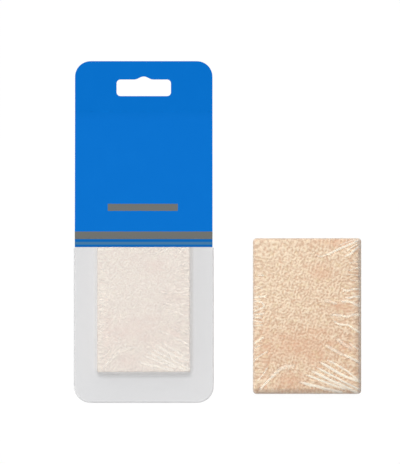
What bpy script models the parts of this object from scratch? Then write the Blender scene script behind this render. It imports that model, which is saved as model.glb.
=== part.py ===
"""A carded crepe rubber eraser for suede, nubuck and leather, with a second, larger block beside it.

The pack is a grey backing card and a blue header leaf, glued together round the hang slot, and a clear formed
blister that slides on the card's edges. The blister holds a crepe rubber block in a clear film wrap, and the
header's lower edge lies over the top end of its dome. Everything lies on its back, in metres, +Z up and +Y
towards the hang slot. The origin is the bottom centre of the whole set.
"""

import math

import bmesh
import bpy

# Cards. The header covers the top end of the packed block by HEADER_COVER.
CARD_WIDTH = 0.0814
CARD_HEIGHT = 0.2016
CARD_CORNER_RADIUS = 0.0092
CARD_THICKNESS = 0.0006
HEADER_COVER = 0.0059
HEADER_THICKNESS = 0.0004
HEADER_BEND_RADIUS = 0.030

# Hang slot, with its raised crest in the middle of the upper edge
SLOT_WIDTH = 0.0322
SLOT_HEIGHT = 0.0098
SLOT_CORNER_RADIUS = 0.0023
SLOT_FROM_TOP = 0.0109
SLOT_CREST_WIDTH = 0.0112
SLOT_CREST_HEIGHT = 0.0018

# Bands of glue between the two cards, above and below the slot
GLUE_WIDTH = 0.060
GLUE_HEIGHT = 0.0050
GLUE_THICKNESS = 0.00015
GLUE_MARGIN = 0.0020

# Crepe blocks in their film, outside sizes
PACKED_WIDTH = 0.0552
PACKED_LENGTH = 0.0800
PACKED_THICKNESS = 0.0130
PACKED_FROM_CARD_FOOT = 0.0174
LOOSE_WIDTH = 0.0641
LOOSE_LENGTH = 0.0922
LOOSE_THICKNESS = 0.0150
BLOCK_CORNER_RADIUS = 0.0022
BLOCK_EDGE_RADIUS = 0.0018
FILM_THICKNESS = 0.00015
FILM_HEM = 0.0140
FILM_HEM_CORNER_RADIUS = 0.0060

# Blister
BLISTER_WALL = 0.0003
DOME_CLEARANCE = 0.0003
DOME_TOP_RADIUS = 0.0012
DOME_FOOT_RADIUS = 0.0010
DOME_DRAFT_DEG = 3.0
LIP_DEPTH = 0.0040
TAB_CLEARANCE = 0.0010
TAB_HEIGHT = 0.0140
TAB_CORNER_RADIUS = 0.0040
RAIL_FROM_HEADER = 0.0003

# Fits
SLIDE_GAP = 0.00015
REST_GAP = 0.0001
FILM_GAP = 0.0001

# Places of the two things on the table
SET_SPACING = 0.0231
LOOSE_FROM_PACK_FOOT = 0.0054

# Fineness of the round stretches
CORNER_STEPS = 8
EDGE_STEPS = 5
BEND_STEPS = 12
CREST_STEPS = 12
OVERRUN = 0.002

# Heights in the pack, from the table up
CARD_BOTTOM = BLISTER_WALL + SLIDE_GAP
CARD_TOP = CARD_BOTTOM + CARD_THICKNESS
FLANGE_TOP = CARD_TOP + SLIDE_GAP + BLISTER_WALL
PACKED_BOTTOM = CARD_TOP + REST_GAP
DOME_TOP = PACKED_BOTTOM + PACKED_THICKNESS + DOME_CLEARANCE + BLISTER_WALL
GLUE_BOTTOM = CARD_TOP + REST_GAP
HEADER_LOW = GLUE_BOTTOM + GLUE_THICKNESS + REST_GAP
HEADER_HIGH = DOME_TOP + REST_GAP

# Places along the pack, from the card's lower edge up
SLOT_TOP = CARD_HEIGHT - SLOT_FROM_TOP
SLOT_FOOT = SLOT_TOP - SLOT_HEIGHT
UPPER_GLUE_FOOT = SLOT_TOP + SLOT_CREST_HEIGHT + GLUE_MARGIN
LOWER_GLUE_FOOT = SLOT_FOOT - GLUE_MARGIN - GLUE_HEIGHT
HEADER_LIFT = LOWER_GLUE_FOOT - GLUE_MARGIN
PACKED_MIDDLE = PACKED_FROM_CARD_FOOT + PACKED_LENGTH / 2
PACKED_HEAD = PACKED_FROM_CARD_FOOT + PACKED_LENGTH
HEADER_FOOT = PACKED_HEAD - HEADER_COVER
RAIL_HEAD = HEADER_FOOT - RAIL_FROM_HEADER
TAB_HEAD = HEADER_FOOT + TAB_HEIGHT

# The blister's folded edge: half circles round the card's edge, then the lip behind it
FOLD_MIDDLE = FLANGE_TOP / 2
FOLD_OUTSIDE = FLANGE_TOP / 2
FOLD_INSIDE = FOLD_OUTSIDE - BLISTER_WALL
TAB_HALF_WIDTH = CARD_WIDTH / 2 - LIP_DEPTH - TAB_CLEARANCE

# Whole set
PACK_WIDTH = CARD_WIDTH + 2 * FOLD_OUTSIDE
SET_WIDTH = PACK_WIDTH + SET_SPACING + LOOSE_WIDTH
SET_LENGTH = CARD_HEIGHT + FOLD_OUTSIDE
PACK_PLACE = ((PACK_WIDTH - SET_WIDTH) / 2, FOLD_OUTSIDE - SET_LENGTH / 2, 0)
LOOSE_PLACE = (
    (SET_WIDTH - LOOSE_WIDTH) / 2,
    LOOSE_FROM_PACK_FOOT + (LOOSE_LENGTH - SET_LENGTH) / 2,
    0,
)


def clear_scene():
    for obj in list(bpy.data.objects):
        bpy.data.objects.remove(obj)


def linear(red, green, blue):
    """Scene-linear colour of a display colour given as 0 to 255."""

    def channel(value):
        value /= 255
        if value <= 0.04045:
            return value / 12.92
        return ((value + 0.055) / 1.055) ** 2.4

    return (channel(red), channel(green), channel(blue), 1)


def material(name, colour, roughness, alpha=1.0):
    made = bpy.data.materials.new(name)
    made.use_nodes = True
    shader = made.node_tree.nodes["Principled BSDF"]
    shader.inputs["Base Color"].default_value = colour
    shader.inputs["Roughness"].default_value = roughness
    shader.inputs["Metallic"].default_value = 0.0
    shader.inputs["Alpha"].default_value = alpha
    return made


def empty(name, place, parent=None):
    made = bpy.data.objects.new(name, None)
    made.location = place
    made.parent = parent
    bpy.context.scene.collection.objects.link(made)
    return made


def mesh_object(name, shape, parent, finish=None):
    """Object of a bmesh, with smooth round stretches and sharp corners. The bmesh is freed."""
    bmesh.ops.recalc_face_normals(shape, faces=shape.faces)
    mesh = bpy.data.meshes.new(name)
    shape.to_mesh(mesh)
    shape.free()
    mesh.shade_smooth()
    mesh.set_sharp_from_angle(angle=math.radians(35))
    if finish:
        mesh.materials.append(finish)
    made = bpy.data.objects.new(name, mesh)
    made.parent = parent
    bpy.context.scene.collection.objects.link(made)
    return made


def arc(centre, radius, start, end, steps):
    """Points of an arc in a plane, with both ends. Angles are in degrees."""
    angles = [math.radians(start + (end - start) * i / steps) for i in range(steps + 1)]
    return [(centre[0] + radius * math.cos(a), centre[1] + radius * math.sin(a)) for a in angles]


def rounded_rectangle(half_width, half_height, radius, centre=(0, 0)):
    """Outline of a rectangle with round corners, anticlockwise from the lower end of its right side."""
    outline = []
    for across, up, start in ((1, 1, 0), (-1, 1, 90), (-1, -1, 180), (1, -1, 270)):
        middle = (centre[0] + across * (half_width - radius), centre[1] + up * (half_height - radius))
        outline += arc(middle, radius, start, start + 90, CORNER_STEPS)
    return outline


def ring(half_width, half_height, radius, height, centre=(0, 0)):
    return [(x, y, height) for x, y in rounded_rectangle(half_width, half_height, radius, centre)]


def prism(outline, bottom, top):
    """Bmesh of a flat outline raised from bottom to top."""
    shape = bmesh.new()
    face = shape.faces.new([shape.verts.new((x, y, bottom)) for x, y in outline])
    raised = bmesh.ops.extrude_face_region(shape, geom=[face])
    corners = [item for item in raised["geom"] if isinstance(item, bmesh.types.BMVert)]
    bmesh.ops.translate(shape, verts=corners, vec=(0, 0, top - bottom))
    return shape


def loft(rings):
    """Bmesh of a skin through rings of equal length, closed by a face at each end."""
    shape = bmesh.new()
    rows = [[shape.verts.new(point) for point in points] for points in rings]
    count = len(rows[0])
    for lower, upper in zip(rows, rows[1:]):
        for i in range(count):
            j = (i + 1) % count
            shape.faces.new((lower[i], lower[j], upper[j], upper[i]))
    shape.faces.new(rows[0])
    shape.faces.new(rows[-1])
    return shape


def cutter(name, shape, parent):
    made = mesh_object(name, shape, parent)
    made.hide_render = True
    made.display_type = "WIRE"
    return made


def combine(target, other, operation):
    modifier = target.modifiers.new(other.name, "BOOLEAN")
    modifier.operation = operation
    modifier.solver = "EXACT"
    modifier.object = other


def slot_outline():
    """Hang slot: a rectangle with round corners whose upper edge rises to a crest by one wave of a cosine."""
    middle = (SLOT_TOP + SLOT_FOOT) / 2
    outline = rounded_rectangle(SLOT_WIDTH / 2, SLOT_HEIGHT / 2, SLOT_CORNER_RADIUS, (0, middle))
    crest = []
    for i in range(CREST_STEPS + 1):
        along = 1 - 2 * i / CREST_STEPS
        rise = SLOT_CREST_HEIGHT * (1 + math.cos(math.pi * along)) / 2
        crest.append((along * SLOT_CREST_WIDTH / 2, SLOT_TOP + rise))
    right_corner = CORNER_STEPS + 1
    return outline[:right_corner] + crest + outline[right_corner:]


def header_path():
    """Underside of the header leaf from its lower edge to its upper one, as (y, z, slope angle).

    It lies flat on the dome, comes down a straight slope between two equal bends, and lies flat on the glue. The
    slope's angle a solves (2R - rise) cos a + run sin a = 2R, where R is the bends' radius.
    """
    dome_edge = PACKED_HEAD + DOME_CLEARANCE + BLISTER_WALL - DOME_TOP_RADIUS
    rise = HEADER_HIGH - HEADER_LOW
    run = HEADER_LIFT - dome_edge
    lower = HEADER_BEND_RADIUS
    upper = HEADER_BEND_RADIUS + HEADER_THICKNESS
    bends = lower + upper
    slope = math.atan2(run, bends - rise) - math.acos(bends / math.hypot(bends - rise, run))
    path = [(HEADER_FOOT - OVERRUN, HEADER_HIGH, 0)]
    for i in range(BEND_STEPS + 1):
        turn = slope * i / BEND_STEPS
        path.append((dome_edge + lower * math.sin(turn), HEADER_HIGH - lower * (1 - math.cos(turn)), turn))
    for i in range(BEND_STEPS, -1, -1):
        turn = slope * i / BEND_STEPS
        path.append((HEADER_LIFT - upper * math.sin(turn), HEADER_LOW + upper * (1 - math.cos(turn)), turn))
    path.append((CARD_HEIGHT + OVERRUN, HEADER_LOW, 0))
    return path


def make_slot_cutter(pack):
    return cutter("slot_cutter", prism(slot_outline(), -OVERRUN, DOME_TOP), pack)


def make_backing_card(pack, slot):
    outline = rounded_rectangle(CARD_WIDTH / 2, CARD_HEIGHT / 2, CARD_CORNER_RADIUS, (0, CARD_HEIGHT / 2))
    finish = material("grey board", linear(222, 222, 222), 0.7)
    card = mesh_object("backing_card", prism(outline, CARD_BOTTOM, CARD_TOP), pack, finish)
    combine(card, slot, "DIFFERENCE")


def make_header_card(pack, slot):
    """The printed leaf: a bent sheet wider than the card, cut to the card's outline and slotted."""
    under = header_path()
    over = [
        (y + HEADER_THICKNESS * math.sin(turn), z + HEADER_THICKNESS * math.cos(turn))
        for y, z, turn in under
    ]
    section = [(y, z) for y, z, turn in under] + over[::-1]
    half = CARD_WIDTH / 2 + OVERRUN
    sheet = loft([[(x, y, z) for y, z in section] for x in (-half, half)])
    finish = material("blue printed card", linear(7, 112, 206), 0.45)
    card = mesh_object("header_card", sheet, pack, finish)

    edge = CARD_WIDTH / 2
    corner = edge - CARD_CORNER_RADIUS
    head = CARD_HEIGHT - CARD_CORNER_RADIUS
    outline = [(-edge, HEADER_FOOT), (edge, HEADER_FOOT)]
    outline += arc((corner, head), CARD_CORNER_RADIUS, 0, 90, CORNER_STEPS)
    outline += arc((-corner, head), CARD_CORNER_RADIUS, 90, 180, CORNER_STEPS)
    trim = cutter("header_trim", prism(outline, -OVERRUN, HEADER_HIGH + OVERRUN), pack)
    combine(card, trim, "INTERSECT")
    combine(card, slot, "DIFFERENCE")


def make_glue(pack):
    finish = material("glue", linear(236, 232, 214), 0.35)
    for name, foot in (("header_glue_upper", UPPER_GLUE_FOOT), ("header_glue_lower", LOWER_GLUE_FOOT)):
        middle = (0, foot + GLUE_HEIGHT / 2)
        outline = rounded_rectangle(GLUE_WIDTH / 2, GLUE_HEIGHT / 2, GLUE_HEIGHT / 2.5, middle)
        mesh_object(name, prism(outline, GLUE_BOTTOM, GLUE_BOTTOM + GLUE_THICKNESS), pack, finish)


def dome_ring(outset, height):
    """Ring of the dome, this far outside the space kept for the wrapped block."""
    return ring(
        PACKED_WIDTH / 2 + DOME_CLEARANCE + outset,
        PACKED_LENGTH / 2 + DOME_CLEARANCE + outset,
        BLOCK_CORNER_RADIUS + DOME_CLEARANCE + outset,
        height,
        (0, PACKED_MIDDLE),
    )


def rim_ring(outset, height):
    """Ring that follows the card's edge at this distance. Its upper end lies past the blister's open end."""
    length = TAB_HEAD + 2 * CARD_CORNER_RADIUS
    return ring(
        CARD_WIDTH / 2 + outset,
        length / 2 + outset,
        CARD_CORNER_RADIUS + outset,
        height,
        (0, length / 2),
    )


def dome_skin(depth):
    """Rings from the dome's top to its foot, on the surface this deep in the sheet's thickness."""
    draft = math.tan(math.radians(DOME_DRAFT_DEG))
    shoulder = DOME_TOP - DOME_TOP_RADIUS
    foot = FLANGE_TOP + DOME_FOOT_RADIUS
    spread = draft * (shoulder - foot)
    rings = []
    for out, up in arc((0, 0), DOME_TOP_RADIUS - depth, 90, 0, EDGE_STEPS):
        rings.append(dome_ring(BLISTER_WALL - DOME_TOP_RADIUS + out, shoulder + up))
    for out, up in arc((0, 0), DOME_FOOT_RADIUS + depth, 180, 270, EDGE_STEPS):
        rings.append(dome_ring(BLISTER_WALL + DOME_FOOT_RADIUS + spread + out, foot + up))
    return rings


def fold_skin(radius):
    """Rings of the fold round the card's edge, from the front of the card to the back of it."""
    return [rim_ring(out, FOLD_MIDDLE + up) for out, up in arc((0, 0), radius, 90, -90, BEND_STEPS)]


def make_blister(carrier):
    """One formed sheet: dome, flange, and edges folded round the card, open at the end under the header."""
    outside = dome_skin(0) + fold_skin(FOLD_OUTSIDE) + [rim_ring(-LIP_DEPTH, 0)]
    inside = dome_skin(BLISTER_WALL) + fold_skin(FOLD_INSIDE) + [rim_ring(-LIP_DEPTH, BLISTER_WALL)]
    finish = material("clear plastic sheet", linear(245, 246, 247), 0.1, alpha=0.3)
    shell = mesh_object("blister_shell", loft(outside + inside[::-1]), carrier, finish)

    past = CARD_WIDTH / 2 + 2 * FOLD_OUTSIDE
    corner = TAB_HALF_WIDTH - TAB_CORNER_RADIUS
    head = TAB_HEAD - TAB_CORNER_RADIUS
    outline = [(-past, -OVERRUN), (past, -OVERRUN), (past, RAIL_HEAD), (TAB_HALF_WIDTH, RAIL_HEAD)]
    outline += arc((corner, head), TAB_CORNER_RADIUS, 0, 90, CORNER_STEPS)
    outline += arc((-corner, head), TAB_CORNER_RADIUS, 90, 180, CORNER_STEPS)
    outline += [(-TAB_HALF_WIDTH, RAIL_HEAD), (-past, RAIL_HEAD)]
    trim = cutter("blister_trim", prism(outline, -OVERRUN, DOME_TOP + OVERRUN), carrier)
    combine(shell, trim, "INTERSECT")

    inner = CARD_WIDTH / 2 - CARD_CORNER_RADIUS
    for name, side in (("left_corner_notch", -1), ("right_corner_notch", 1)):
        edges = sorted((side * inner, side * past))
        outline = [(x, y) for y in (-OVERRUN, CARD_CORNER_RADIUS) for x in edges]
        outline[2:] = outline[:1:-1]
        notch = cutter(name, prism(outline, -OVERRUN, CARD_BOTTOM), carrier)
        combine(shell, notch, "DIFFERENCE")


def box_skin(width, length, bottom, top, depth, middle):
    """Rings up a box with round corners and edges, whose skin lies this deep under the outside."""
    reach = BLOCK_EDGE_RADIUS - depth
    rings = []
    for start, level in ((-90, bottom + BLOCK_EDGE_RADIUS), (0, top - BLOCK_EDGE_RADIUS)):
        for out, up in arc((0, 0), reach, start, start + 90, EDGE_STEPS):
            inset = BLOCK_EDGE_RADIUS - out
            radius = BLOCK_CORNER_RADIUS - inset
            rings.append(ring(width / 2 - inset, length / 2 - inset, radius, level + up, middle))
    return rings


def make_wrapped_block(name, width, length, thickness, bottom, middle, carrier):
    """A block of crepe rubber and the film round it, whose hem is turned in on the back and left open."""
    top = bottom + thickness
    skin = (width, length, bottom, top)
    outside = box_skin(*skin, 0, middle)
    inside = box_skin(*skin, FILM_THICKNESS, middle)
    openings = [
        ring(width / 2 - FILM_HEM, length / 2 - FILM_HEM, FILM_HEM_CORNER_RADIUS, height, middle)
        for height in (bottom + FILM_THICKNESS, bottom)
    ]
    film = material(name + " film", linear(250, 250, 250), 0.12, alpha=0.25)
    mesh_object(name + "_film_wrap", loft(inside[::-1] + openings + outside), carrier, film)

    crepe = material(name + " crepe rubber", linear(232, 205, 177), 0.85)
    block = box_skin(*skin, FILM_THICKNESS + FILM_GAP, middle)
    mesh_object(name + "_crepe_block", loft(block), carrier, crepe)


def main():
    clear_scene()
    pack = empty("pack", PACK_PLACE)
    slide = empty("blister_slide", (0, 0, 0), pack)
    lift = empty("loose_eraser_lift", LOOSE_PLACE)

    slot = make_slot_cutter(pack)
    make_backing_card(pack, slot)
    make_header_card(pack, slot)
    make_glue(pack)
    make_blister(slide)
    make_wrapped_block(
        "packed", PACKED_WIDTH, PACKED_LENGTH, PACKED_THICKNESS, PACKED_BOTTOM, (0, PACKED_MIDDLE), slide
    )
    make_wrapped_block("loose", LOOSE_WIDTH, LOOSE_LENGTH, LOOSE_THICKNESS, 0, (0, 0), lift)


main()
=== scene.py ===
# %% [markdown]
# # A crepe rubber eraser on its card, with a loose block beside it
# Suede is cleaned with a block of crepe rubber. It is sold wrapped in clear film, under a clear blister that slides
# on a grey card, below a blue printed header with a hang slot. A second wrapped block lies beside the pack.
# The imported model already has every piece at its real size. This lesson gives the pieces their surfaces: the cards
# keep their solids and get a printed finish, and the soft and clear pieces are worked out again as fine surfaces.

import math

import bpy
import numpy as np
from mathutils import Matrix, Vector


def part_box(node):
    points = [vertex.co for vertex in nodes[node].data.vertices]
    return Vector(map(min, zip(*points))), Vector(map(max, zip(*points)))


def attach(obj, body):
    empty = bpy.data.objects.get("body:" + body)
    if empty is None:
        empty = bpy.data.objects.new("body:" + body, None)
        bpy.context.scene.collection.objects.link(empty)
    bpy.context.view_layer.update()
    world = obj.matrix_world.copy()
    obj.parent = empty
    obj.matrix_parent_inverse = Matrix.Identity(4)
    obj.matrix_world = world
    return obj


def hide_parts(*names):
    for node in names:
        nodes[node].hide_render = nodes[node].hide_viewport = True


MM_IN_A_METRE = 1000

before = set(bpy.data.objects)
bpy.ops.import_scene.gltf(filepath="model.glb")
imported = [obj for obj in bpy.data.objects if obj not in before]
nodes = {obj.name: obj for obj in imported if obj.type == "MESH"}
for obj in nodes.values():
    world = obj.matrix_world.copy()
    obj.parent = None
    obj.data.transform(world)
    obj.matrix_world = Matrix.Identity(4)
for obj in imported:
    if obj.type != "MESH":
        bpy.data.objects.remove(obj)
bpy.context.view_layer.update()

# %% [markdown]
# Both things lie flat on a white table and are looked at from straight above, as by a copying camera. A long lens
# from six metres away gives that flat view. The picture is 400 pixels wide and 464 high, and one of its pixels
# covers a little over half a millimetre of the table, which sets how far away the camera stands.

# %% Camera
PICTURE_WIDTH = 400
PICTURE_HEIGHT = 464
PIXEL = 0.0005915
VIEW_MIDDLE = (-0.0103, 0.0)
LENS_MM = 800
SENSOR_MM = 36
FOCUS_HEIGHT = 0.008
FARTHEST = 100

view_height = PICTURE_HEIGHT * PIXEL
camera_data = bpy.data.cameras.new("camera")
camera_data.lens = LENS_MM
camera_data.sensor_width = SENSOR_MM
camera_data.clip_end = FARTHEST
camera = bpy.data.objects.new("camera", camera_data)
camera.location = (*VIEW_MIDDLE, FOCUS_HEIGHT + view_height * LENS_MM / SENSOR_MM)
bpy.context.scene.collection.objects.link(camera)
bpy.context.scene.camera = camera
bpy.context.scene.view_settings.view_transform = "Standard"
print(f"the camera stands {camera.location.z:.2f} m above the table")

# %% [markdown]
# Materials are written as sums. A wire is one output of a node, and adding, multiplying or comparing wires puts the
# Math nodes in place, so a mask reads as a formula does on paper.

# %% Wires
class Wire:
    """One output of a node, with the arithmetic that can be done on it."""

    def __init__(self, recipe, socket):
        self.recipe = recipe
        self.socket = socket

    def of(self, name):
        """Another output of the same node."""
        return Wire(self.recipe, self.socket.node.outputs[name])

    def math(self, operation, *values):
        return self.recipe.math(operation, self, *values)

    def __add__(self, other):
        return self.math("ADD", other)

    def __sub__(self, other):
        return self.math("SUBTRACT", other)

    def __mul__(self, other):
        return self.math("MULTIPLY", other)

    def __rsub__(self, other):
        return self.recipe.math("SUBTRACT", other, self)

    __radd__ = __add__

    def bounded(self):
        """The same value, held between 0 and 1."""
        return self.math("MAXIMUM", 0.0).math("MINIMUM", 1.0)

    def step(self, start, end):
        """A smooth step from 0 at start to 1 at end."""
        ends = {"Value": self, "From Min": start, "From Max": end}
        return self.recipe.node("ShaderNodeMapRange", {"interpolation_type": "SMOOTHSTEP"}, ends)

    def between(self, low, high, soft):
        """1 where the value lies between low and high, with soft sides."""
        return self.step(low - soft, low + soft) * (1 - self.step(high - soft, high + soft))


print("a wire can be added to, taken from, multiplied, bounded and stepped")

# %% [markdown]
# A recipe holds the nodes of one material. Every node comes from one method, which takes the node's settings first
# and then the values or wires of its sockets. A finish ends in the Principled shader: the same fine grain that
# makes it rougher here and there stands out as its relief.

# %% Recipes
LOW_LOOK_POWER = 3.0


class Recipe:
    """The nodes of one material, or of the world around."""

    def __init__(self, name, kind=bpy.data.materials):
        self.material = kind.new(name)
        self.material.use_nodes = True
        self.tree = self.material.node_tree
        self.tree.nodes.clear()

    def node(self, kind, settings=None, values=None, output=0):
        """Adds a node: its settings first, then the value or wire of each socket. Returns one output's wire."""
        made = self.tree.nodes.new(kind)
        for name, value in (settings or {}).items():
            setattr(made, name, value)
        for name, value in (values or {}).items():
            if isinstance(value, Wire):
                self.tree.links.new(value.socket, made.inputs[name])
            else:
                made.inputs[name].default_value = value
        return Wire(self, made.outputs[output]) if made.outputs else made

    def math(self, operation, *values):
        return self.node("ShaderNodeMath", {"operation": operation}, dict(enumerate(values)))

    def place(self):
        """Place on the object, in metres."""
        return self.node("ShaderNodeTexCoord", output="Object")

    def attribute(self, name):
        return self.node("ShaderNodeAttribute", {"attribute_name": name}, output="Fac")

    def noise(self, size, detail, stretch=(1, 1, 1)):
        """Noise with lumps of about this size in metres, made longer along an axis by a stretch under 1.

        The detail is how many times finer lumps are added to it.
        """
        drawn = self.node("ShaderNodeVectorMath", {"operation": "MULTIPLY"}, {0: self.place(), 1: stretch})
        return self.node("ShaderNodeTexNoise", {}, {"Vector": drawn, "Scale": 1 / size, "Detail": detail})

    def mix(self, factor, first, second):
        """Colour between two others."""
        settings = {"data_type": "RGBA"}
        return self.node("ShaderNodeMix", settings, {0: factor, 6: first, 7: second}, output=2)

    def seen(self):
        """1 for a look straight from the camera, in a reflection or through glass, and 0 for light on a surface."""
        ray = self.node("ShaderNodeLightPath", output="Is Camera Ray")
        return ray.math("MAXIMUM", ray.of("Is Glossy Ray")).math("MAXIMUM", ray.of("Is Transmission Ray"))

    def split(self, vector, axis):
        """One component of a vector, X, Y or Z."""
        return self.node("ShaderNodeSeparateXYZ", {}, {"Vector": vector}, output=axis)

    def low_look(self):
        """How low the surface is looked at: 0 straight on and 1 along it, with a late rise."""
        return self.node("ShaderNodeLayerWeight", output="Facing").math("POWER", LOW_LOOK_POWER)

    def finish(self, grain, tone, look, **cover):
        """Ends the recipe in a Principled shader with this tone, and in a clear finish with its cover as Alpha.

        The look gives the least roughness, what the grain adds to it, the strength of the gloss, and how far in
        metres the grain's full range stands out, with 0 for a smooth surface.
        """
        rough, rougher, gloss, relief = look
        rough = rough + grain * rougher
        values = {"Base Color": tone, "Roughness": rough, "Specular IOR Level": gloss, **cover}
        if relief:
            values["Normal"] = self.node("ShaderNodeBump", {}, {"Height": grain, "Distance": relief})
        shader = self.node("ShaderNodeBsdfPrincipled", {}, values)
        self.node("ShaderNodeOutputMaterial", {}, {"Surface": shader})
        print(self.material.name, "has", len(self.tree.nodes), "nodes")
        return self.material


print("a low look rises with the power", LOW_LOOK_POWER)

# %% [markdown]
# Colours are written as they show on a display, from 0 to 255, and the display's own curve turns them into shares
# of light. The curve is a power, with a straight foot for the darkest shades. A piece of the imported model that
# keeps its solid only needs its new finish.

# %% Colour and paint
FULL_SCALE = 255
FOOT_END = 0.04045
FOOT_SLOPE = 12.92
CURVE_SHIFT = 0.055
CURVE_POWER = 2.4


def colour(red, green, blue):
    """Scene-linear colour of a display colour given as 0 to 255."""
    shown = np.array([red, green, blue]) / FULL_SCALE
    curve = ((shown + CURVE_SHIFT) / (1 + CURVE_SHIFT)) ** CURVE_POWER
    light = np.where(shown <= FOOT_END, shown / FOOT_SLOPE, curve)
    return (*light.tolist(), 1.0)


def paint_node(name, finish):
    """Gives a node of the frame its finish."""
    nodes[name].data.materials.clear()
    nodes[name].data.materials.append(finish)


print("a mid grey of 128 is", round(colour(128, 128, 128)[0], 3), "in linear light")

# %% [markdown]
# The table is a white sheet. The camera sees it mostly as plain white, as in a catalogue picture, and a part of it
# stays an ordinary matt surface, so that the pack and the block still cast their soft shadows there. Mirror-like
# and glass surfaces see the same white.

# %% Table
TABLE_SIZE = 8.0
TABLE_DROP = 0.0002
TABLE_WHITE_SHARE = 0.85
TABLE_MATT = (0.94, 0.94, 0.94, 1)
TABLE_GLOW = 1.02
WHITE = (1, 1, 1, 1)

recipe = Recipe("white table")
matt = recipe.node("ShaderNodeBsdfDiffuse", {}, {"Color": TABLE_MATT})
glow = recipe.node("ShaderNodeEmission", {}, {"Color": WHITE, "Strength": TABLE_GLOW})
surface = recipe.node("ShaderNodeMixShader", {}, {0: recipe.seen() * TABLE_WHITE_SHARE, 1: matt, 2: glow})
recipe.node("ShaderNodeOutputMaterial", {}, {"Surface": surface})

half = TABLE_SIZE / 2
corners = [(x, y, -TABLE_DROP) for x, y in ((-half, -half), (half, -half), (half, half), (-half, half))]
table_mesh = bpy.data.meshes.new("table")
table_mesh.from_pydata(corners, [], [(0, 1, 2, 3)])
table_mesh.materials.append(recipe.material)
table = bpy.data.objects.new("table", table_mesh)
bpy.context.scene.collection.objects.link(table)
print("the table is", TABLE_SIZE, "m wide")

# %% [markdown]
# A studio lights such a pack with one lamp on the upper left, which models the edges, and a broad panel overhead,
# which casts the short soft shadows. The first lamp throws no shadow, as if a white card stood opposite it. The
# white room gives the rest, and is plain white where it is seen itself. Together they light a face that looks up
# with a strength of 1, so that a white face renders as white and no more. A lamp shines down its own axis, so it is
# tilted first, and then turned to its azimuth and a quarter turn more.

# %% Light
ROOM_SHARE = 0.26
QUARTER_TURN = 90
LAMPS = {
    "modelling_lamp": {"share": 0.55, "tilt": 34, "azimuth": 135, "width": 12, "shadow": False},
    "overhead_panel": {"share": 0.19, "tilt": 12.5, "azimuth": 96, "width": 8, "shadow": True},
}

recipe = Recipe("room", bpy.data.worlds)
strength = recipe.seen() * (1 - ROOM_SHARE) + ROOM_SHARE
room = recipe.node("ShaderNodeBackground", {}, {"Color": WHITE, "Strength": strength})
recipe.node("ShaderNodeOutputWorld", {}, {"Surface": room})
bpy.context.scene.world = recipe.material

for name, lamp in LAMPS.items():
    tilt = math.radians(lamp["tilt"])
    data = bpy.data.lights.new(name, "SUN")
    data.energy = lamp["share"] * math.pi / math.cos(tilt)
    data.angle = math.radians(lamp["width"])
    data.use_shadow = lamp["shadow"]
    light = bpy.data.objects.new(name, data)
    light.rotation_euler = (tilt, 0, math.radians(lamp["azimuth"] + QUARTER_TURN))
    bpy.context.scene.collection.objects.link(light)
    print(f"{name}: strength {data.energy:.2f}")

# %% [markdown]
# The backing card is uncoated grey board. It is even in tone, with a faint cloud of fibres and a paler cut edge.
# Its solid is right as it is, so it only gets a finish. Place on the object is in metres, so a lump of noise can be
# given its real size. A face is flat or upright by how far its normal points up.

# %% Grey board
BOARD = colour(222, 222, 223)
BOARD_DARK = colour(220, 220, 221)
BOARD_CORE = colour(232, 230, 226)
BOARD_CLOUD = 0.004
BOARD_FIBRE = 0.0006
FIBRE_STRETCH = (1, 0.35, 1)
CLOUD_SHARE = 0.6
MOTTLE = (0.35, 0.75)
FLAT = (0.5, 0.8)
BOARD_LOOK = (0.62, 0.2, 0.2, 0.00002)

recipe = Recipe("grey_board")
cloud = recipe.noise(BOARD_CLOUD, detail=4)
fibre = recipe.noise(BOARD_FIBRE, detail=3, stretch=FIBRE_STRETCH)
upward = recipe.split(recipe.node("ShaderNodeNewGeometry", output="Normal"), "Z")
core = 1 - upward.math("ABSOLUTE").step(*FLAT)
mottle = (cloud * CLOUD_SHARE + fibre * (1 - CLOUD_SHARE)).step(*MOTTLE)
tone = recipe.mix(core, recipe.mix(mottle, BOARD, BOARD_DARK), BOARD_CORE)
paint_node("backing_card", recipe.finish(fibre, tone, BOARD_LOOK))

# %% [markdown]
# The header is the same kind of board, printed in solid blue. Along its lower edge run a grey band, a narrow blue
# one and a slate one, and higher up stands one short grey bar. The bands are steps in the place along the card, so
# they are edges in a formula and need no picture. The leaf's back is bare board, painted a darker grey that also
# stands in for the shade under the leaf, and its cut edges are pale.
# The leaf's foot stands high above the flange, and no shadow of it is wanted there, so the leaf casts none.

# %% Printed header
HEADER_BLUE = colour(0, 111, 202)
HEADER_BLUE_WORN = colour(3, 114, 205)
LOWER_BLUE = colour(6, 102, 180)
BAND_GREY = colour(110, 112, 109)
BAND_SLATE = colour(68, 120, 162)
CUT_EDGE = colour(236, 234, 228)
LEAF_BACK_SHADED = colour(150, 150, 148)
PRINT_SOFT = 0.00008
GREY_BAND = (-0.00417, 0.00027)
SLATE_BAND = (-0.00742, -0.00582)
BAR_ACROSS = (-0.0648, -0.0234)
BAR_ALONG = (0.01251, 0.01665)
PRINT_GRAIN = 0.0005
PRINT_CLOUD = 0.012
WORN_CLOUD = (0.4, 0.9)
WORN_GRAIN = (0.5, 0.9)
PRINT_LOOK = (0.5, 0.12, 0.03, 0.00002)

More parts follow.
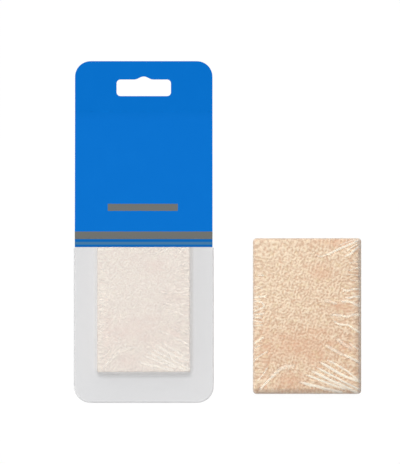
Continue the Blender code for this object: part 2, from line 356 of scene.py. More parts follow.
recipe = Recipe("printed_card")
across = recipe.split(recipe.place(), "X")
along = across.of("Y")
grain = recipe.noise(PRINT_GRAIN, detail=3)
cloud = recipe.noise(PRINT_CLOUD, detail=3)
upward = recipe.split(recipe.node("ShaderNodeNewGeometry", output="Normal"), "Z")
lower = 1 - along.step(GREY_BAND[0] - PRINT_SOFT, GREY_BAND[0] + PRINT_SOFT)
worn = cloud.step(*WORN_CLOUD) * 0.5 + grain.step(*WORN_GRAIN) * 0.5
tone = recipe.mix(worn, HEADER_BLUE, HEADER_BLUE_WORN)
tone = recipe.mix(lower, tone, LOWER_BLUE)
tone = recipe.mix(along.between(*GREY_BAND, PRINT_SOFT), tone, BAND_GREY)
tone = recipe.mix(along.between(*SLATE_BAND, PRINT_SOFT), tone, BAND_SLATE)
bar = along.between(*BAR_ALONG, PRINT_SOFT) * across.between(*BAR_ACROSS, PRINT_SOFT)
tone = recipe.mix(bar, tone, BAND_GREY)
# The leaf's back: bare board with painted shade, darker than the board of the face.
bare = recipe.mix(upward.step(-FLAT[1], -FLAT[0]), LEAF_BACK_SHADED, CUT_EDGE)
tone = recipe.mix(upward.step(*FLAT), bare, tone)
paint_node("header_card", recipe.finish(grain, tone, PRINT_LOOK))
nodes["header_card"].visible_shadow = False

# %% [markdown]
# Two bands of dried glue hold the leaf to the board. They are slightly glossy and yellowish, and thicker in places.

# %% Glue
GLUE_PALE = colour(238, 233, 214)
GLUE_DEEP = colour(222, 212, 182)
GLUE_POOL = 0.003
GLUE_LOOK = (0.25, 0.2, 0.5, 0.00008)

recipe = Recipe("glue")
pool = recipe.noise(GLUE_POOL, detail=2)
glue = recipe.finish(pool, recipe.mix(pool, GLUE_PALE, GLUE_DEEP), GLUE_LOOK)
paint_node("header_glue_upper", glue)
paint_node("header_glue_lower", glue)

# %% [markdown]
# The blocks, their films and the blister are all boxes with round corners, in different sizes. One pair of
# parameters from -1 to 1 runs across and along such a box. Near a corner, each place is drawn in towards the
# corner's middle until it lies no farther from it than the longer of its two sides. That turns the square corner
# into a quarter circle, with all the rows of points running round it.

# %% A rectangle with round corners
EDGE_ROWS = 7
TINY = 1e-12


def spaced(size, edge, step):
    """Parameter from -1 to 1 along one side: points crowd over the round edge and lie a step apart elsewhere."""
    half = size / 2
    turn = np.linspace(0, math.pi / 2, EDGE_ROWS + 1)[:-1]
    margin = half - edge * (1 - np.cos(turn))
    inner = np.linspace(edge - half, half - edge, round((size - 2 * edge) / step) + 1)
    return np.concatenate([-margin, inner, margin[::-1]]) / half


def round_plan(s, t, width, length, radius):
    """Place, outward direction and distance to the outline of parameters s and t in a rounded rectangle.

    The part of the place that lies past the corner's middle is scaled by its longer side over its length.
    """
    square = np.stack([s * width / 2, t * length / 2], -1)
    reach = np.array([width, length]) / 2 - radius
    middle = np.clip(square, -reach, reach)
    away = square - middle
    longer = np.abs(away).max(-1, keepdims=True)
    heading = away / np.maximum(np.linalg.norm(away, axis=-1, keepdims=True), TINY)
    return middle + heading * longer, heading, radius - longer[..., 0]


def rim(grid):
    """The values round a grid's border, anticlockwise."""
    return np.concatenate([grid[:-1, 0], grid[-1, :-1], grid[:0:-1, -1], grid[0, :0:-1]])


def in_space(plan, upward):
    """Rows of x, y and z from grids of places in plan and of heights, or of directions."""
    return np.concatenate([plan, upward[..., None]], -1).reshape(-1, 3)


print("a round edge has", EDGE_ROWS, "rows of points")

# %% [markdown]
# Each of these pieces is one skin. It starts as a face, a grid of points whose border rounds over the edge, and goes
# on as rings round that border: down the sides, and in under the back or out over the card. A block's skin ends in
# a second face that closes it.

# %% A skin of a face and rings
class Skin:
    """The points, normals and faces of a face grid and the rings that follow it.

    Over the edge the face drops by the edge's radius less the height of a circle at that distance.
    """

    def __init__(self, width, length, top, radius, edge, step):
        self.s, self.t = np.meshgrid(spaced(width, edge, step), spaced(length, edge, step), indexing="ij")
        plan, heading, self.inset = round_plan(self.s, self.t, width, length, radius)
        lean = np.clip(edge - self.inset, 0, edge) / edge
        self.level = np.sqrt(1 - lean**2)
        self.drop = edge * (1 - self.level)
        self.plan = plan
        self.count = 0
        self.points, self.normals, self.faces = [], [], []
        numbers = np.arange(self.s.size).reshape(self.s.shape)
        self.numbers = numbers
        self.face_normals = in_space(heading * lean[..., None], self.level)
        self.add(in_space(plan, top - self.drop), self.face_normals)
        self.faces.append(self.face_of(numbers))
        self.last = rim(numbers)

    def add(self, points, normals):
        self.points.append(points)
        self.normals.append(normals)
        self.count += len(points)

    @staticmethod
    def face_of(numbers):
        corners = (numbers[:-1, :-1], numbers[1:, :-1], numbers[1:, 1:], numbers[:-1, 1:])
        return np.stack([corner.ravel() for corner in corners], 1)

    def band_to(self, numbers):
        """Faces between the last ring and the next one, looking outwards."""
        band = (numbers, np.roll(numbers, -1), np.roll(self.last, -1), self.last)
        self.faces.append(np.stack(band, 1))
        self.last = numbers

    def ring(self, width, length, radius, height, rise=0.0, shift=(0, 0)):
        """Adds a ring of this size at this height. Its normals look outwards, tilted up by rise, a sine."""
        plan, heading, _ = round_plan(rim(self.s), rim(self.t), width, length, radius)
        flat = math.sqrt(1 - rise**2)
        numbers = self.count + np.arange(len(plan))
        self.add(
            np.column_stack([plan + shift, np.full(len(plan), height)]),
            np.column_stack([heading * flat, np.full(len(plan), rise)]),
        )
        self.band_to(numbers)

    def close(self, bottom):
        """Adds the back, which is the face upside down."""
        numbers = self.numbers + self.count
        self.add(in_space(self.plan, bottom + self.drop), self.face_normals * (1, 1, -1))
        self.band_to(rim(numbers))
        self.faces.append(self.face_of(numbers)[:, ::-1])

    def arrays(self):
        return np.concatenate(self.points), np.concatenate(self.normals), np.concatenate(self.faces)


trial = Skin(width=0.06, length=0.09, top=0.01, radius=0.002, edge=0.001, step=0.01)
print("a coarse skin's face has", trial.count, "points")

# %% [markdown]
# A finished surface becomes a mesh in one go: all places and all faces are handed over as whole arrays. The piece
# then takes its finish, rides on the body that carries it, and stands for the solid that it replaces.

# %% From arrays to a piece
def make_piece(name, points, faces, finish, body, node, slot, **attributes):
    """A piece from arrays of points and four-sided faces, with its attributes. It stands for the frame's node."""
    mesh = bpy.data.meshes.new(name)
    mesh.vertices.add(len(points))
    mesh.vertices.foreach_set("co", points.astype(np.float32).ravel())
    mesh.loops.add(faces.size)
    mesh.loops.foreach_set("vertex_index", faces.astype(np.int32).ravel())
    mesh.polygons.add(len(faces))
    mesh.polygons.foreach_set("loop_start", np.arange(0, faces.size, faces.shape[1], dtype=np.int32))
    mesh.update(calc_edges=True)
    for title, values in attributes.items():
        layer = mesh.attributes.new(title, "FLOAT", "POINT")
        layer.data.foreach_set("value", values.astype(np.float32))
    mesh.shade_smooth()
    mesh.materials.append(finish)
    piece = bpy.data.objects.new(name, mesh)
    bpy.context.scene.collection.objects.link(piece)
    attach(piece, body)
    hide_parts(node)
    print(name, "has", len(points), "points")
    return piece


def box_of(name):
    """Width, length, bottom, top and middle of a solid of the frame."""
    low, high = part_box(name)
    size = high - low
    return size.x, size.y, low.z, high.z, ((low.x + high.x) / 2, (low.y + high.y) / 2)


packed_width = box_of("packed_film_wrap")[0]
print(f"the packed film is {packed_width * MM_IN_A_METRE:.1f} mm wide")

# %% [markdown]
# Crepe rubber is natural rubber coagulated in wrinkled sheets and pressed to a block. Its face is a maze of short
# worm-like ridges a millimetre or two across, with some larger unevenness. A sum of many plane waves of nearly one
# length, in random directions, gives just such a maze. It is worked out in space, so it runs on over the edges
# without a seam. Towards the sides the tight film has dragged the ridges out into short lines. The sides were cut
# with a knife, so the maze is shallower there and the outline stays straight.

# %% Crepe surface
WORM = (0.00115, 0.0022)
LUMP = (0.0030, 0.0080)
LUMP_SHARE = 0.15
RIDGE_STEEP = 1.1
WAVES = 140
CREPE_DEPTH = 0.00026
CUT_SIDE_SHARE = 0.35
CREPE_STEP = 0.00042
CREPE_SIDE_STEP = 0.0006
DRAWN = (0.22, 0.5)
DRAWN_REACH = 0.012


def waves(points, lengths, chance):
    """Sum of plane waves with lengths in this range and random heading and phase, with a spread of about 1."""
    heading = chance.normal(size=(WAVES, 3))
    heading /= np.linalg.norm(heading, axis=1, keepdims=True)
    pace = 2 * math.pi / chance.uniform(*lengths, (WAVES, 1))
    phase = chance.uniform(0, 2 * math.pi, WAVES)
    return np.cos(points @ (heading * pace).T + phase).sum(1) * math.sqrt(2 / WAVES)


def smooth(share):
    """A smooth step from 0 to 1 while the share goes from 0 to 1."""
    share = np.clip(share, 0, 1)
    return share * share * (3 - 2 * share)


def drawn_out(plan, size):
    """Places at which a pattern is read so that it is drawn out towards the block's sides.

    Within a reach of a side the distance from the middle grows ever more slowly, by a square law.
    """
    distance = np.abs(plan)
    over = np.maximum(distance - np.array(size) / 2 + DRAWN_REACH, 0)
    return np.sign(plan) * (distance - (1 - np.array(DRAWN)) * over**2 / (2 * DRAWN_REACH))


def crepe_block(width, length, bottom, top, middle, radius, edge, seed, size):
    """The block's skin, sunk along its normals by the maze's depth, less of it where it stands upright.

    Returns it with the ridges, from 0 to 1. The size is that of the maze, as a multiple of the loose block's.
    """
    skin = Skin(width, length, top, radius, edge, CREPE_STEP)
    rows = round((top - bottom - 2 * edge) / CREPE_SIDE_STEP)
    for height in np.linspace(top - edge, bottom + edge, rows + 1)[1:-1]:
        skin.ring(width, length, radius, height)
    skin.close(bottom)
    points, normals, faces = skin.arrays()
    chance = np.random.default_rng(seed)
    read = np.column_stack([drawn_out(points[:, :2], (width, length)), points[:, 2]])
    worm = waves(read / size, WORM, chance)
    lump = waves(points / size, LUMP, chance)
    ridge = (1 + np.tanh(RIDGE_STEEP * (worm + LUMP_SHARE * lump))) / 2
    share = CUT_SIDE_SHARE + (1 - CUT_SIDE_SHARE) * np.abs(normals[:, 2])
    points = points - normals * (CREPE_DEPTH * share * (1 - ridge))[:, None]
    return points + (*middle, 0), faces, ridge


print(f"the maze is {CREPE_DEPTH * MM_IN_A_METRE:.2f} mm deep")

# %% [markdown]
# Natural rubber isn't even in colour. Both blocks are cut from one sheet and show the same warm patches, listed
# here by their place, width and height as shares of the block. The patches fade outwards as bell curves, and the
# upper left of the block is a shade paler.

# %% Warm patches
PATCHES = [
    (-0.11, -0.19, 0.30, 0.09),
    (0.07, -0.25, 0.12, 0.06),
    (-0.38, -0.20, 0.06, 0.15),
    (0.33, 0.06, 0.12, 0.03),
    (0.13, 0.28, 0.10, 0.05),
    (0.35, -0.20, 0.08, 0.05),
    (-0.17, -0.42, 0.12, 0.05),
    (0.08, -0.10, 0.14, 0.025),
    (0.22, -0.18, 0.05, 0.035),
    (0.30, 0.47, 0.24, 0.025),
]
PALE_ACROSS = 0.13
PALE_UP = 0.20


def warmth(across, along):
    """How warm the rubber is at a place given in shares of the block: the strongest bell curve of the patches."""
    bells = [
        np.exp(-(((across - x) / wide) ** 2) - ((along - y) / high) ** 2) for x, y, wide, high in PATCHES
    ]
    return np.max(bells, axis=0)


print(len(PATCHES), "warm patches")

# %% [markdown]
# The rubber's colour follows the maze: the ridges are pale cream and the grooves a warmer tan, partly the rubber's own
# tone and partly painted shade in the grooves, with a fine speck that is smaller than the ridges. A slow change of hue
# runs across both, towards pink here and yellow there.

# %% Crepe rubber finish
CREPE_PALE = colour(255, 236, 210)
CREPE_DEEP_AND_SHADE = colour(206, 170, 141)
CREPE_WARM = colour(226, 176, 144)
CREPE_YELLOW = colour(240, 220, 178)
CREPE_VEIL_GREY = colour(238, 238, 238)
CREPE_GAIN = 1.22
CREPE_MIDDLE = 0.53
RIDGE_SHARE = 0.6
SPECK_SIZE = 0.0008
SPECK_REACH = (0.28, 0.72)
HUE_SIZE = 0.003
PINK_HUE = (0.5, 0.8)
PINK_SHARE = 0.26
PATCH_SHARE = 0.45
YELLOW_HUE = (0.25, 0.5)
YELLOW_SHARE = 0.3
CREPE_LOOK = (0.75, 0.2, 0.2, 0.00014)

recipe = Recipe("crepe_rubber")
ridge = recipe.attribute("ridge")
warm = recipe.attribute("warm")
pale = recipe.attribute("pale")
speck = recipe.noise(SPECK_SIZE, detail=3)
hue = recipe.noise(HUE_SIZE, detail=1)
height = ridge * RIDGE_SHARE + speck.step(*SPECK_REACH) * (1 - RIDGE_SHARE)
tone = (height - 0.5) * CREPE_GAIN + CREPE_MIDDLE + pale
# Grooves darker than ridges: partly the rubber's own tone, partly painted shade.
tone = recipe.mix(tone.bounded(), CREPE_DEEP_AND_SHADE, CREPE_PALE)
pink = hue.step(*PINK_HUE) * PINK_SHARE + warm * PATCH_SHARE
tone = recipe.mix(pink.bounded(), tone, CREPE_WARM)
tone = recipe.mix((1 - hue.step(*YELLOW_HUE)) * YELLOW_SHARE, tone, CREPE_YELLOW)
# Painted veil: the imported block's rubber is mixed towards pale grey, for the light the frosted blister scatters over
# it.
tone = recipe.mix(recipe.attribute("bleach"), tone, CREPE_VEIL_GREY)
crepe = recipe.finish(speck, tone, CREPE_LOOK)

# %% [markdown]
# The two blocks are the same cut in two sizes. The solid gives each its place and size, and its corners and edges are
# the film's, less a hair of air. The imported block's rubber is painted paler and greyer, a painted veil standing in
# for the light the blister's frost scatters over it. The same list says how strongly the film on each block shows its
# folds, its painted edge shade and its steep sides.

# %% The two blocks
BLOCK_INSET = 0.00025
BLOCKS = {
    "packed": {
        "body": "blister", "corner": 0.0012, "edge": 0.0007, "seed": 5,
        "bleach": 0.38, "cover": 0.5, "gather": 0.0, "side": 0.3,
    },
    "loose": {
        "body": "loose_eraser", "corner": 0.0022, "edge": 0.0018, "seed": 11,
        "bleach": 0.0, "cover": 1.0, "gather": 1.0, "side": 0.8,
    },
}
LOOSE_WIDTH = box_of("loose_film_wrap")[0]

for which, block in BLOCKS.items():
    block["size"] = box_of(which + "_film_wrap")[0] / LOOSE_WIDTH
    width, length, bottom, top, middle = box_of(which + "_crepe_block")
    corner, edge = block["corner"] - BLOCK_INSET, block["edge"] - BLOCK_INSET
    points, faces, ridge = crepe_block(
        width, length, bottom, top, middle, corner, edge, block["seed"], block["size"]
    )
    across, along = ((points[:, :2] - middle) / (width, length)).T
    make_piece(
        which + "_crepe", points, faces, crepe, block["body"], which + "_crepe_block", "crepe_rubber",
        ridge=ridge, warm=warmth(across, along), pale=PALE_UP * along - PALE_ACROSS * across,
        bleach=np.full(len(points), block["bleach"]),
    )

# %% [markdown]
# The film is drawn tight over the block and gathered at the back. Where it was pulled in, folds run inwards from
# the edges, thickest at the lower right corner. The list gives each fold's width and strength and then its path
# from the inner end outwards, in millimetres from the middle of the loose block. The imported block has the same
# folds, at its own size.

# %% Folds of the film
FOLDS = [
    (1.5, 0.65, (14.3, -1.6), (16.3, -3.3), (18.8, -4.9), (24.5, -5.3), (27.0, -7.2), (32.0, -10.2)),
    (1.3, 0.5, (24.0, -15.0), (27.0, -17.5), (32.0, -20.5)),
    (3.0, 0.38, (16.0, -12.5), (21.0, -16.0), (26.0, -19.0)),
    (2.6, 0.45, (9.5, -16.5), (15.0, -19.5), (20.0, -22.5)),
    (1.6, 0.75, (20.0, -22.3), (25.5, -24.5), (32.0, -28.0)),
    (1.4, 0.7, (10.0, -25.0), (15.0, -27.4), (20.2, -30.4), (23.8, -32.6), (26.5, -34.9), (30.0, -37.6)),
    (1.6, 1.0, (6.0, -26.3), (10.0, -28.5), (15.0, -31.5), (20.0, -34.5), (25.0, -36.7), (32.0, -38.8)),
    (1.3, 0.9, (3.5, -29.5), (8.0, -31.5), (13.0, -34.2), (18.0, -36.7), (22.0, -39.0), (32.0, -44.0)),
    (1.6, 1.0, (0.5, -31.3), (5.0, -33.5), (9.0, -35.5), (14.0, -38.0), (19.0, -40.0), (30.0, -45.5)),
    (1.4, 0.9, (-2.3, -34.3), (3.0, -36.0), (8.0, -38.0), (13.0, -40.0), (22.0, -43.0)),
    (1.6, 1.0, (-6.0, -38.8), (-2.0, -39.5), (1.0, -40.6), (6.0, -41.5), (11.0, -43.0), (20.0, -45.0)),
    (1.3, 0.5, (4.5, 35.8), (9.0, 35.2), (13.0, 37.0)),
    (1.5, 0.8, (9.5, 35.2), (14.0, 37.2), (20.0, 40.2), (24.0, 41.8), (32.0, 45.5)),
    (1.1, 0.5, (17.5, 41.0), (22.0, 43.0), (30.0, 46.0)),
    (1.1, 0.6, (22.5, 37.8), (26.0, 40.3), (32.0, 44.0)),
    (1.4, 0.75, (21.0, 34.8), (25.5, 36.5), (27.5, 38.5), (32.0, 42.0)),
    (1.1, 0.4, (23.5, 30.5), (27.0, 31.8), (32.0, 32.5)),
    (1.1, 0.5, (24.0, 26.3), (27.0, 27.8), (32.0, 29.0)),
    (1.1, 0.4, (22.5, 24.5), (27.0, 24.5), (32.0, 23.5)),
    (1.1, 0.4, (24.0, 22.3), (27.0, 21.2), (32.0, 20.5)),
    (1.4, 0.6, (20.5, 13.2), (21.8, 15.6), (24.5, 15.0), (27.0, 15.9), (32.0, 16.0)),
    (1.5, 0.7, (21.5, 11.2), (25.0, 10.7), (28.0, 11.5), (32.0, 11.2)),
    (1.8, 0.6, (18.5, 8.7), (24.0, 8.7), (26.5, 8.1), (28.5, 6.9), (32.0, 6.0)),
    (2.2, 0.4, (9.5, 8.7), (12.0, 9.2), (17.0, 7.5)),
    (1.8, 0.55, (12.0, -0.3), (16.0, 0.8), (20.0, 0.3), (23.8, -0.4), (27.0, 0.8), (32.0, 0.8)),
    (3.4, 0.42, (-5.5, -29.7), (-13.0, -30.0), (-16.5, -31.8), (-20.5, -35.5)),
    (1.6, 0.7, (-16.5, -31.3), (-18.8, -33.8), (-21.5, -36.7), (-25.0, -40.4), (-27.5, -43.0)),
    (1.3, 0.5, (-22.5, -29.3), (-24.2, -31.5), (-25.6, -34.0), (-29.0, -38.0)),
    (1.3, 0.5, (-21.5, -20.8), (-24.5, -21.5), (-28.0, -23.5), (-32.0, -27.0)),
    (1.2, 0.5, (-24.8, 24.0), (-29.0, 24.0)),
    (1.1, 0.4, (-25.5, 17.0), (-27.5, 16.5), (-32.0, 17.8)),
    (1.6, 0.65, (-23.0, 11.8), (-27.0, 11.4), (-32.0, 10.9)),
    (1.3, 0.65, (-24.6, 5.6), (-26.7, 8.0), (-28.8, 8.8), (-32.0, 8.6)),
    (1.1, 0.5, (-28.0, 6.0), (-32.0, 5.5)),
    (1.3, 0.65, (-24.3, 7.0), (-26.2, 5.0), (-28.5, 3.8), (-32.0, 2.4)),
    (1.3, 0.65, (-24.4, 2.6), (-26.5, 1.2), (-32.0, 0.8)),
    (1.0, 0.6, (-26.0, -1.4), (-32.0, -0.6)),
    (1.0, 0.6, (-26.0, -4.0), (-28.5, -3.2), (-32.0, -2.6)),
    (1.7, 0.4, (-25.0, -5.2), (-32.0, -5.8)),
    (1.4, 0.6, (-24.5, -11.9), (-28.0, -13.9), (-32.0, -16.6)),
    (1.1, 0.5, (-27.0, -17.0), (-32.0, -19.4)),
]
FOLD_TAPER = 0.2


def fold_height(plan, size):
    """Highest fold at places in plan, from 0 to 1, on a block this many times the loose one's size.

    A fold's height is a bell curve of the distance to its path, and it rises over the first part of the path.
    """
    highest = np.zeros(len(plan))
    for width, strength, *path in FOLDS:
        path = np.array(path) * size / MM_IN_A_METRE
        spread = width * size / (2 * MM_IN_A_METRE)
        legs = np.diff(path, axis=0)
        long = np.linalg.norm(legs, axis=1)
        passed = np.cumsum(long) - long
        for start, leg, run, before in zip(path, legs, long, passed):
            share = np.clip((plan - start) @ leg / run**2, 0, 1)
            away = np.linalg.norm(plan - start - share[:, None] * leg, axis=1)
            bell = np.exp(-((away / spread) ** 2))
            rise = np.clip((before + share * run) / (FOLD_TAPER * long.sum()), 0, 1)
            highest = np.maximum(highest, strength * bell * rise)
    return highest


print(len(FOLDS), "folds, the widest", max(fold[0] for fold in FOLDS), "mm")

# %% [markdown]
# Where the film was drawn down and tucked under the block, fine pleats run down the sides and in over the hem. They
# are the peaks of a wave that runs round the block. Two slow waves make its pace waver, and a third its strength.

# %% Pleats
PLEATS = 53
PLEAT_WAVERS = [(2.5, 7, 0), (1.6, 12, 1)]
PLEAT_LEAST = 0.7
PLEAT_STRENGTH = (9, 2)
PLEAT_SHARPNESS = 4


def pleats(count):
    """Pleats round the block, from 0 to 1: the narrow peaks of a wave whose pace wavers."""
    turn = np.linspace(0, 2 * math.pi, count, endpoint=False)
    pace = PLEATS * turn
    for far, often, start in PLEAT_WAVERS:
        pace = pace + far * np.sin(often * turn + start)
    often, start = PLEAT_STRENGTH
    strong = PLEAT_LEAST + (1 - PLEAT_LEAST) * np.sin(often * turn + start)
    return strong * np.clip(np.cos(pace), 0, 1) ** PLEAT_SHARPNESS


print(PLEATS, "pleats round each block")

# %% [markdown]
# Along three sides the film is painted darker, a rim of painted shade, most of all on the right and below, the sides
# turned away from the modelling lamp. Each rim is full up to one distance from its side and gone at another, and they
# all fade where the film turns down.

# %% Painted edge shade
# Painted shade: darker rims of film on the right, below and on the left of each block.
SHADE_RIGHT = (0.0010, 0.0032, 0.95)
SHADE_RIGHT_WIDE = (0.0016, 0.0058, 0.40)
SHADE_LOW = (0.0022, 0.0042, 0.52)
SHADE_LOW_WIDE = (0.0030, 0.0100, 0.28)
SHADE_LEFT = (0.0004, 0.0020, 0.35)
SHADE_FADE = 4


def gathering(points, width, length):
    """How much painted shade the film gets at places round the block's middle: the strongest of its rims."""

    def near(distance, full, end, most):
        return most * (1 - smooth((distance - full) / (end - full)))

    to_right, to_left = width / 2 - points[:, 0], width / 2 + points[:, 0]
    to_foot = length / 2 + points[:, 1]
    rightward = smooth(points[:, 0] / width + 0.5)
    rims = [
        near(to_right, *SHADE_RIGHT),
        near(to_right, *SHADE_RIGHT_WIDE),
        near(to_foot, *SHADE_LOW),
        near(to_foot, *SHADE_LOW_WIDE) * rightward,
        near(to_left, *SHADE_LEFT),
    ]
    return np.max(rims, axis=0)


print("the widest rim reaches", SHADE_LOW_WIDE[1] * MM_IN_A_METRE, "mm in")

# %% [markdown]
# The film's skin is the block's outline again: a face, round edges, sides, and a hem on the back that stops at an
# opening. It is lifted by the folds, which flatten out just before the edge. Solidify then gives the sheet its
# thickness, towards the block.

# %% Film surface
FILM_STEP = 0.00046
FILM_THICKNESS = 0.0001
FILM_LIFT = 0.00022
HEM = 0.0140
HEM_CORNER = 0.0060
FILM_SIDE_STEP = 0.0018
HEM_ROWS = 5
FOLD_FADE = 0.0015
PLEAT_START = 0.15
PLEAT_LIFT = 0.0001


def wrap_film(width, length, bottom, top, middle, radius, edge, size):
    """The film's outer skin, from its face round the sides to the hem's inner line.

    Returns it with its folds, its painted edge shade at three sides, and how steeply it stands, which is a sine.
    """
    skin = Skin(width, length, top, radius, edge, FILM_STEP)
    rows = round((top - bottom - 2 * edge) / FILM_SIDE_STEP)
    for height in np.linspace(top - edge, bottom + edge, rows + 1)[1:]:
        skin.ring(width, length, radius, height)
    for turn in np.linspace(0, math.pi / 2, EDGE_ROWS)[1:]:
        inset = edge * (1 - math.cos(turn))
        height = bottom + edge * (1 - math.sin(turn))
        skin.ring(width - 2 * inset, length - 2 * inset, radius - inset, height, -math.sin(turn))
    for share in np.linspace(0, 1, HEM_ROWS + 1)[1:]:
        inset = edge + (HEM - edge) * share
        corner = radius - edge + (HEM_CORNER - radius + edge) * share
        skin.ring(width - 2 * inset, length - 2 * inset, corner, bottom, -1.0)
    points, normals, faces = skin.arrays()

    upward = np.clip(normals[:, 2], 0, 1)
    inset = np.zeros(len(points))
    inset[: skin.inset.size] = skin.inset.ravel()
    folds = fold_height(points[:, :2], size) * smooth(inset / FOLD_FADE)
    points = points + normals * (FILM_LIFT * folds)[:, None]
    rows = (len(points) - skin.inset.size) // len(skin.last)
    pleat = (np.linspace(PLEAT_START, 1, rows)[:, None] * pleats(len(skin.last))).ravel()
    outwards = normals[skin.inset.size :] * (1, 1, -1)
    points[skin.inset.size :] += outwards * (PLEAT_LIFT * pleat)[:, None]
    folds[skin.inset.size :] = pleat
    # Painted shade along three sides, fading where the film turns down.
    gather = gathering(points, width, length) * upward**SHADE_FADE
    return points + (*middle, 0), faces, folds, gather, np.sqrt(1 - upward**2)


print("the hem on the back is", HEM * MM_IN_A_METRE, "mm wide")

# %% [markdown]
# Clear film shows mostly where it bends. Between the folds it is almost invisible. Along the foot of a fold the film
# is painted dark brown, a painted shade, and along the crest it is painted white, partly the film's own whitening
# where it is creased and partly a painted highlight. The fold's height drives both the tone and how much the film
# covers. On the steep sides, and wherever it is seen at a low angle, the film covers more as well.

# %% Film finish
CREST_WHITE_AND_HIGHLIGHT = colour(241, 241, 230)
FOLD_FOOT_SHADE = colour(162, 132, 106)
EDGE_SHADE_TINT = colour(140, 134, 130)
SIDE_TINT = colour(240, 236, 230)
TINT_REACH = (0.12, 0.42)
FOOT_REACH = (0.03, 0.3)
FOOT_COVER = 0.2
CREST_REACH = (0.3, 0.9)
CREST_COVER = 0.28
FILM_COVER = 0.01
HAZE_COVER = 0.02
EDGE_SHADE_COVER = 0.42
SIDE_COVER = 0.24
FILM_LOW_COVER = 0.1
HAZE_SIZE = 0.006
SCUFF_SIZE = 0.0012
SCUFF_STRETCH = (1, 0.3, 1)
FILM_LOOK = (0.3, 0.15, 0.5, 0.00003)

recipe = Recipe("clear_film")
fold = recipe.attribute("fold")
gather = recipe.attribute("gather")
steep = recipe.attribute("steep")
haze = recipe.noise(HAZE_SIZE, detail=3)
scuff = recipe.noise(SCUFF_SIZE, detail=2, stretch=SCUFF_STRETCH)
# Painted shade along a fold's foot, and a white crest that is partly a painted highlight.
tone = recipe.mix(fold.step(*TINT_REACH), FOLD_FOOT_SHADE, CREST_WHITE_AND_HIGHLIGHT)
# Painted shade: the rims on the right, below and on the left turn the film dark grey.
tone = recipe.mix(gather, tone, EDGE_SHADE_TINT)
tone = recipe.mix(steep, tone, SIDE_TINT)
cover = fold.step(*FOOT_REACH) * FOOT_COVER + fold.step(*CREST_REACH) * CREST_COVER
cover = cover * recipe.attribute("cover") * (1 - gather)
cover = FILM_COVER + haze * HAZE_COVER + cover + gather * EDGE_SHADE_COVER + steep * SIDE_COVER
cover = cover + recipe.low_look() * FILM_LOW_COVER
film = recipe.finish(scuff, tone, FILM_LOOK, Alpha=cover.bounded())

# %% [markdown]
# Each block gets its film. What a piece carries as an attribute of its points, such as the folds, the finish reads
# back by name.

# %% The two films
for which, block in BLOCKS.items():
    width, length, bottom, top, middle = box_of(which + "_film_wrap")
    points, faces, folds, gather, steep = wrap_film(
        width, length, bottom, top, middle, block["corner"], block["edge"], block["size"]
    )
    piece = make_piece(
        which + "_film", points, faces, film, block["body"], which + "_film_wrap", "clear_film",
        fold=folds, gather=gather * block["gather"], steep=steep * block["side"],
        cover=np.full(len(points), block["cover"]),
    )
    wall = piece.modifiers.new("film", "SOLIDIFY")
    wall.thickness = FILM_THICKNESS
    wall.offset = -1

# %% [markdown]
# The blister is one sheet of thin plastic, formed hot over a mould. The dome has a rounded top edge, walls that
# lean out by a few degrees so that it leaves the mould, and a rounded foot. The flange lies on the card, and its
# long edges and lower edge are folded round the card to the back, where they act as rails. The sheet's outer face
# is a skin of rings, Solidify gives it a wall, and cutters trim it at the header. The skin also carries its frost,
# which says how milky the sheet is at each place.

# %% Blister surface
WALL = 0.0003
CLEARANCE = 0.0003
DOME_CORNER = 0.0028
DOME_EDGE = 0.0009
DOME_FOOT = 0.0010
DRAFT_DEG = 3.0
LIP = 0.0040
CARD_CORNER = 0.0092
TAB_HEIGHT = 0.0140
DOME_STEP = 0.0015
EDGE_FROST = 0.35
WALL_FROST = 0.05
FOOT_FROST_SHADE = 0.25
FOLD_FROST = 3.3
FROST_FADE = 8
CURVE_ROWS = 9
WALL_ROWS = (0.33, 0.67, 1.0)

film_width, film_length, _, _, film_middle = box_of("packed_film_wrap")
card_width, _, card_low, card_high, (card_x, _) = box_of("backing_card")
card_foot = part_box("backing_card")[0].y
shell_low, shell_high = (corner.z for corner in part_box("blister_shell"))
header_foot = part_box("header_card")[0].y
rail_radius = (card_low + card_high) / 2 - shell_low


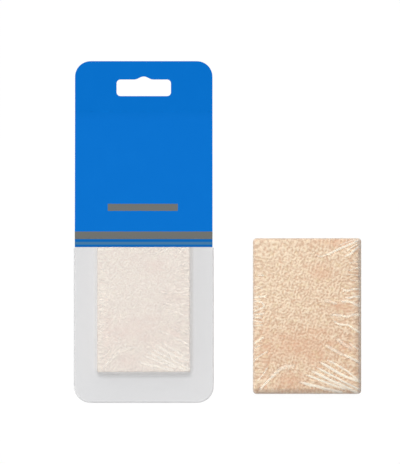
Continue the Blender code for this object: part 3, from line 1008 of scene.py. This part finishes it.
def blister_skin():
    """The dome's face and wall, the flange, the fold as a half circle, and the lip.

    Returns it with its frost and with what isn't the dome's face, which is 1.
    """
    width = film_width + 2 * (CLEARANCE + WALL)
    length = film_length + 2 * (CLEARANCE + WALL)
    radius = DOME_CORNER
    skin = Skin(width, length, shell_high, radius, DOME_EDGE, DOME_STEP)
    skin.points[0] = skin.points[0] + (*film_middle, 0)
    shoulder = shell_high - DOME_EDGE
    foot = shell_low + 2 * rail_radius + DOME_FOOT
    spread = math.tan(math.radians(DRAFT_DEG)) * (shoulder - foot)
    path = [(spread * share, shoulder + (foot - shoulder) * share) for share in WALL_ROWS]
    wall_end = skin.count + len(path) * len(skin.last)
    for turn in np.linspace(0, math.pi / 2, CURVE_ROWS)[1:]:
        path.append((spread + DOME_FOOT * (1 - math.cos(turn)), foot - DOME_FOOT * math.sin(turn)))
    for out, height in path:
        skin.ring(width + 2 * out, length + 2 * out, radius + out, height, shift=film_middle)
    flange = skin.count

    head = header_foot + TAB_HEIGHT + 2 * CARD_CORNER
    middle = (card_x, (head + card_foot) / 2)
    folded = skin.count + len(skin.last)
    path = [
        (rail_radius * math.cos(turn), shell_low + rail_radius * (1 + math.sin(turn)))
        for turn in np.linspace(math.pi / 2, -math.pi / 2, 2 * CURVE_ROWS)
    ]
    for out, height in path + [(-LIP, shell_low)]:
        skin.ring(
            card_width + 2 * out, head - card_foot + 2 * out, CARD_CORNER + out, height, shift=middle
        )
    points, _, faces = skin.arrays()
    frost = np.zeros(len(points))
    frost[:wall_end] = WALL_FROST
    # The dome's foot: frosted grey, partly painted shade round the block.
    frost[wall_end : flange - len(skin.last)] = FOOT_FROST_SHADE
    frost[folded:] = FOLD_FROST
    face = skin.level.size
    frost[:face] = EDGE_FROST + (1 - EDGE_FROST) * skin.level.ravel() ** FROST_FADE
    return points, faces, frost, (np.arange(len(points)) >= face).astype(float)


print(f"the rails bend round the card's edges with a radius of {rail_radius * MM_IN_A_METRE:.2f} mm")

# %% [markdown]
# The trims are flat plates: an outline raised from bottom to top. One keeps the part of the sheet below the header,
# with a tab that slips under the leaf, and two cut the lip away at the card's round lower corners.

# %% Cutters
TAB_CORNER = 0.0040
TAB_CLEARANCE = 0.0010
RAIL_GAP = 0.0003
PAST = 0.002


def plate_cutter(name, outline, bottom, top):
    """A plate with this outline, given from the card's middle line, anticlockwise."""
    outline = np.array(outline) + (card_x, 0)
    points = np.concatenate([np.insert(outline, 2, height, axis=1) for height in (bottom, top)])
    low = np.arange(len(outline))
    high = low + len(outline)
    sides = np.stack([low, np.roll(low, -1), np.roll(high, -1), high], 1)
    mesh = bpy.data.meshes.new(name)
    mesh.from_pydata(points.tolist(), [], [low[::-1].tolist(), high.tolist(), *sides.tolist()])
    made = bpy.data.objects.new(name, mesh)
    made.hide_render = True
    made.display_type = "WIRE"
    bpy.context.scene.collection.objects.link(made)
    return made


def header_trim():
    """Cutter for the sheet's head: straight along the header's foot, with the tab's round corners."""
    rail_head = header_foot - RAIL_GAP
    tab_half = card_width / 2 - LIP - TAB_CLEARANCE
    tab_head = header_foot + TAB_HEIGHT
    wide = card_width / 2 + PAST
    turns = np.linspace(0, math.pi / 2, CURVE_ROWS)
    across = tab_half - TAB_CORNER * (1 - np.cos(turns))
    along = tab_head - TAB_CORNER * (1 - np.sin(turns))
    right = [(wide, card_foot - PAST), (wide, rail_head), (tab_half, rail_head), *zip(across, along)]
    left = [(-x, y) for x, y in right[::-1]]
    return plate_cutter("header_trim", right + left, shell_low - PAST, shell_high + PAST)


def corner_notch(side):
    """Cutter for the lip at a lower corner of the card, on side -1 or 1."""
    inner = card_width / 2 - CARD_CORNER
    low, high = sorted((side * inner, side * (card_width / 2 + PAST)))
    foot, head = card_foot - PAST, card_foot + CARD_CORNER
    outline = [(low, foot), (high, foot), (high, head), (low, head)]
    return plate_cutter("corner_notch", outline, shell_low - PAST, card_low)


cutters = [
    ("INTERSECT", header_trim()),
    ("DIFFERENCE", corner_notch(-1)),
    ("DIFFERENCE", corner_notch(1)),
]
print(len(cutters), "cutters")

# %% [markdown]
# The sheet is clear, with a gloss. Over the block the dome's face is frosted, so the rubber shows through it paler.
# At its foot and where it is folded round the card, the sheet is seen through more of its own thickness, and turns
# grey; at the dome's foot that grey ring is also painted shade round the block. It also shows more where it is looked
# at from a low angle, as all clear plastic does.

# %% Blister
SHEET_WHITE = colour(238, 238, 238)
SHEET_GREY = colour(219, 219, 220)
SHEET_CLOUD = 0.01
SHEET_COVER = 0.02
FROST_COVER = 0.20
CLOUD_COVER = 0.02
SHEET_LOW_COVER = 0.3
SHEET_LOOK = (0.15, 0.08, 0.6, 0)

recipe = Recipe("clear_sheet")
frost = recipe.attribute("frost")
cloud = recipe.noise(SHEET_CLOUD, detail=2)
tone = recipe.mix(recipe.attribute("bare"), SHEET_WHITE, SHEET_GREY)
cover = SHEET_COVER + frost * (FROST_COVER + cloud * CLOUD_COVER) + recipe.low_look() * SHEET_LOW_COVER
sheet = recipe.finish(frost, tone, SHEET_LOOK, Alpha=cover.bounded())
points, faces, frosted, bare = blister_skin()
blister = make_piece(
    "blister", points, faces, sheet, "blister", "blister_shell", "clear_sheet", frost=frosted, bare=bare
)
wall = blister.modifiers.new("wall", "SOLIDIFY")
wall.thickness = WALL
wall.offset = -1
wall.use_even_offset = True
for operation, cutter in cutters:
    trim = blister.modifiers.new(cutter.name, "BOOLEAN")
    trim.operation = operation
    trim.solver = "EXACT"
    trim.object = cutter

# %% [markdown]
# The blister slides off the card, and a cutter that stayed behind would then cut it in the wrong place. So the
# wall and the cuts are put into the mesh for good, and the cutters are thrown away.

# %% Cuts made for good
bpy.context.view_layer.update()
graph = bpy.context.evaluated_depsgraph_get()
blister.data = bpy.data.meshes.new_from_object(blister.evaluated_get(graph))
blister.modifiers.clear()
for _, cutter in cutters:
    bpy.data.objects.remove(cutter)
print("the trimmed blister has", len(blister.data.polygons), "faces")
